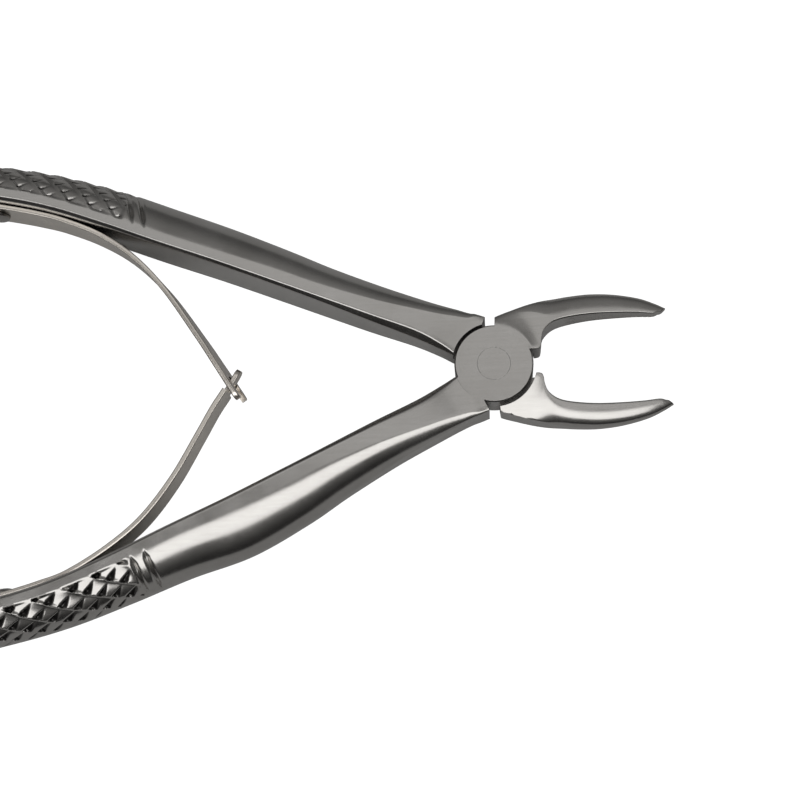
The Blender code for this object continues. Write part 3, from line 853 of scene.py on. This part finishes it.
def steel(name, look, turn_degrees, brush=1.0):
    """Brushed steel: streaks along the piece, cloudy tone, grain, polished edges, and painted shade in
    crevices and notches.
    """
    light, dark, roughness = look
    material = bpy.data.materials.new(name)
    n = Nodes(material)
    place = n.add("ShaderNodeTexCoord").outputs["Object"]
    # Noise scales are per metre, so the streaks and scratches are long and very thin.
    streaks = n.noise(n.stretched(place, turn_degrees, (60, 3200, 3200)), 1.0, 4.0, 0.7)
    scratches = n.noise(n.stretched(place, turn_degrees + 7, (180, 9000, 9000)), 1.0, 2.0)
    grain = n.noise(place, 9000.0, 2.0)
    cloud = n.noise(place, 140.0, 3.0)
    # Edges: where the rounded normal leaves the true one.
    rounded = n.add("ShaderNodeBevel", samples=6)
    rounded.inputs["Radius"].default_value = EDGE_RADIUS * MM
    geometry = n.add("ShaderNodeNewGeometry")
    dot = n.add("ShaderNodeVectorMath", operation="DOT_PRODUCT")
    n.join(rounded.outputs["Normal"], dot.inputs[0])
    n.join(geometry.outputs["Normal"], dot.inputs[1])
    edge = n.between(dot.outputs["Value"], 0.995, 0.80, 0.0, 1.0)
    tone = n.maths("ADD", n.maths("MULTIPLY", streaks, 0.25), n.maths("MULTIPLY", cloud, 0.75))
    colour = n.mix(n.between(tone, 0.35, 0.65, 0.0, 1.0), dark, light)
    colour = n.mix(n.maths("MULTIPLY", edge, 0.35), colour, tuple(min(1, c * 1.35) for c in light))
    # Painted shade: narrow gaps, metal close to other metal and the bottoms of cuts are darkened in the
    # base colour, where the occlusion test finds metal nearby or a notch is deep.
    open_sky = n.add("ShaderNodeAmbientOcclusion", samples=6)
    open_sky.inputs["Distance"].default_value = PAINTED_SHADE_REACH * MM
    painted_shade = n.between(open_sky.outputs["AO"], 0.70, 0.25, 0.0, 0.88)
    # Painted shade in the notches: the deeper a notch, the darker its colour.
    notch = n.add("ShaderNodeAttribute", attribute_name="notch").outputs["Fac"]
    painted_shade = n.maths("MAXIMUM", painted_shade, n.between(notch, *NOTCH_SHADE_DEPTHS, 0.0, 0.92))
    colour = n.mix(painted_shade, colour, PAINTED_SHADE_COLOUR)
    n.join(colour, n.shader.inputs["Base Color"])
    rough = n.between(grain, 0.3, 0.7, roughness - 0.03, roughness + 0.03)
    rough = n.maths("ADD", rough, n.between(cloud, 0.35, 0.65, -0.03, 0.04))
    rough = n.maths("SUBTRACT", rough, n.maths("MULTIPLY", edge, 0.08))
    n.join(rough, n.shader.inputs["Roughness"])
    height = n.maths("ADD", n.maths("MULTIPLY", streaks, 0.25), n.maths("MULTIPLY", scratches, 0.3))
    height = n.maths("ADD", height, n.maths("MULTIPLY", grain, 0.6))
    bump = n.add("ShaderNodeBump")
    bump.inputs["Strength"].default_value = 0.5 * brush
    bump.inputs["Distance"].default_value = BRUSH_DEPTH * MM
    n.join(height, bump.inputs["Height"])
    n.join(rounded.outputs["Normal"], bump.inputs["Normal"])
    n.join(bump.outputs["Normal"], n.shader.inputs["Normal"])
    n.shader.inputs["Metallic"].default_value = 1.0
    return material


def dress(piece, material, slot, *nodes):
    """Material, shading and hiding of the CAD nodes that the piece stands for; the slot is not used."""
    shade(piece)
    piece.data.materials.clear()
    piece.data.materials.append(material)
    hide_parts(*nodes)


# ---- Stage --------------------------------------------------------------------------------------
def add_floor():
    mesh_data = bmesh.new()
    bmesh.ops.create_grid(mesh_data, x_segments=8, y_segments=8, size=2.0)
    mesh = bpy.data.meshes.new("floor")
    mesh_data.to_mesh(mesh)
    mesh_data.free()
    floor = link("floor", mesh)
    floor.location = (0, 0, FLOOR_LEVEL - 0.02 * MM)
    material = bpy.data.materials.new("white_paper")
    n = Nodes(material)
    place = n.add("ShaderNodeTexCoord").outputs["Object"]
    paper = n.noise(place, 300.0)
    n.join(n.mix(n.between(paper, 0.3, 0.7, 0.0, 1.0), (FLOOR_TONE,) * 3, (FLOOR_TONE + 0.02,) * 3),
           n.shader.inputs["Base Color"])
    n.shader.inputs["Roughness"].default_value = 0.9
    n.shader.inputs["Specular IOR Level"].default_value = 0.1
    n.shader.inputs["Emission Color"].default_value = (1, 1, 1, 1)
    seen = n.add("ShaderNodeLightPath").outputs["Is Camera Ray"]
    n.join(n.maths("MULTIPLY", seen, FLOOR_LIFT), n.shader.inputs["Emission Strength"])
    mesh.materials.append(material)


def add_softbox(name, place, target, size, watts):
    place, target = Vector(place) * MM, Vector(target) * MM
    light = bpy.data.lights.new(name, "AREA")
    light.shape = "RECTANGLE"
    light.size, light.size_y = (side * MM for side in size)
    light.energy = watts
    lamp = bpy.data.objects.new(name, light)
    bpy.context.scene.collection.objects.link(lamp)
    lamp.location = place
    lamp.rotation_euler = (target - place).to_track_quat("-Z", "Y").to_euler()


def add_world():
    """Dim studio: brighter overhead and below than at the horizon, and lighter beyond the object."""
    world = bpy.data.worlds.new("studio")
    bpy.context.scene.world = world
    world.use_nodes = True
    tree = world.node_tree
    place = tree.nodes.new("ShaderNodeTexCoord")
    split = tree.nodes.new("ShaderNodeSeparateXYZ")
    tree.links.new(place.outputs["Generated"], split.inputs[0])
    height = tree.nodes.new("ShaderNodeMapRange")
    height.inputs["From Min"].default_value = -1.0
    tree.links.new(split.outputs["Z"], height.inputs["Value"])
    ramp = tree.nodes.new("ShaderNodeValToRGB")
    tree.links.new(height.outputs["Result"], ramp.inputs["Fac"])
    first, last = ramp.color_ramp.elements
    first.position, last.position = WORLD_STOPS[0][0], WORLD_STOPS[-1][0]
    for at, _ in WORLD_STOPS[1:-1]:
        ramp.color_ramp.elements.new(at)
    stops = sorted(ramp.color_ramp.elements, key=lambda stop: stop.position)
    for stop, (_, level) in zip(stops, WORLD_STOPS):
        stop.color = (*(level * share for share in WORLD_TINT), 1)
    side = tree.nodes.new("ShaderNodeMapRange")
    side.inputs["From Min"].default_value, side.inputs["From Max"].default_value = FAR_SIDE_RANGE
    side.inputs["To Max"].default_value = FAR_SIDE
    tree.links.new(split.outputs["Y"], side.inputs["Value"])
    total = tree.nodes.new("ShaderNodeVectorMath")
    tree.links.new(ramp.outputs["Color"], total.inputs[0])
    tree.links.new(side.outputs["Result"], total.inputs[1])
    tree.links.new(total.outputs["Vector"], tree.nodes["Background"].inputs["Color"])


def add_camera():
    camera_data = bpy.data.cameras.new("camera")
    camera_data.sensor_fit = "HORIZONTAL"
    camera_data.sensor_width = SENSOR_WIDTH
    camera_data.lens = CAMERA_LENS
    camera_data.clip_start = 0.01
    camera_data.clip_end = 20
    camera = bpy.data.objects.new("camera", camera_data)
    bpy.context.scene.collection.objects.link(camera)
    right, up = Vector(CAMERA_RIGHT), Vector(CAMERA_UP)
    turn = Matrix((right, up, right.cross(up))).transposed()
    camera.matrix_world = Matrix.Translation(Vector(CAMERA_PLACE) * MM) @ turn.to_4x4()
    bpy.context.scene.camera = camera


# ---- Assembly -----------------------------------------------------------------------------------
def hang_leaf(leaf, half):
    """Works out the ends of the leaf's bending line, which are not used, and bakes the leaf's placement
    into its mesh.
    """
    path, lengths = leaf_path(half)
    base = sample(path, lengths, np.array([BLEND_FROM]))[0]
    tip = path[-1]
    beyond = 2 * tip - base
    ends = [Vector((*place, MIDDLE)) * MM for place in (base, beyond)]
    if half == "back":
        ends.reverse()
    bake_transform(leaf)


def build_half(half):
    """One forging with its leaf and the screw that holds it."""
    body = half + "_body"
    forged = half_solid(half)
    satin = steel(half + "_satin_steel", SATIN, SATIN_BRUSHING[half])
    dress(forged, satin, "satin_steel", half + "_half")
    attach(forged, body)
    leaf = leaf_solid(half)
    spring = steel(half + "_spring_steel", SPRING, SPRING_BRUSHING[half], SPRING_BRUSH_STRENGTH)
    dress(leaf, spring, "spring_steel", half + "_leaf_spring")
    hang_leaf(leaf, half)
    screw = screw_solid(half)
    polished = steel(half + "_screw_steel", POLISHED, 0)
    dress(screw, polished, "polished_steel", half + "_spring_screw")
    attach(screw, body)


def build_rivet():
    rivet = turned("pivot_rivet_flush", rivet_profile())
    satin = steel("rivet_satin_steel", SATIN, RIVET_BRUSHING)
    dress(rivet, satin, "satin_steel", "pivot_rivet")
    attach(rivet, "front_body")


def build():
    bpy.context.scene.view_settings.view_transform = "Standard"
    add_camera()
    add_world()
    add_floor()
    for name, softbox in SOFTBOXES.items():
        add_softbox(name, *softbox)
    for half in BOTH:
        build_half(half)
    build_rivet()


build()
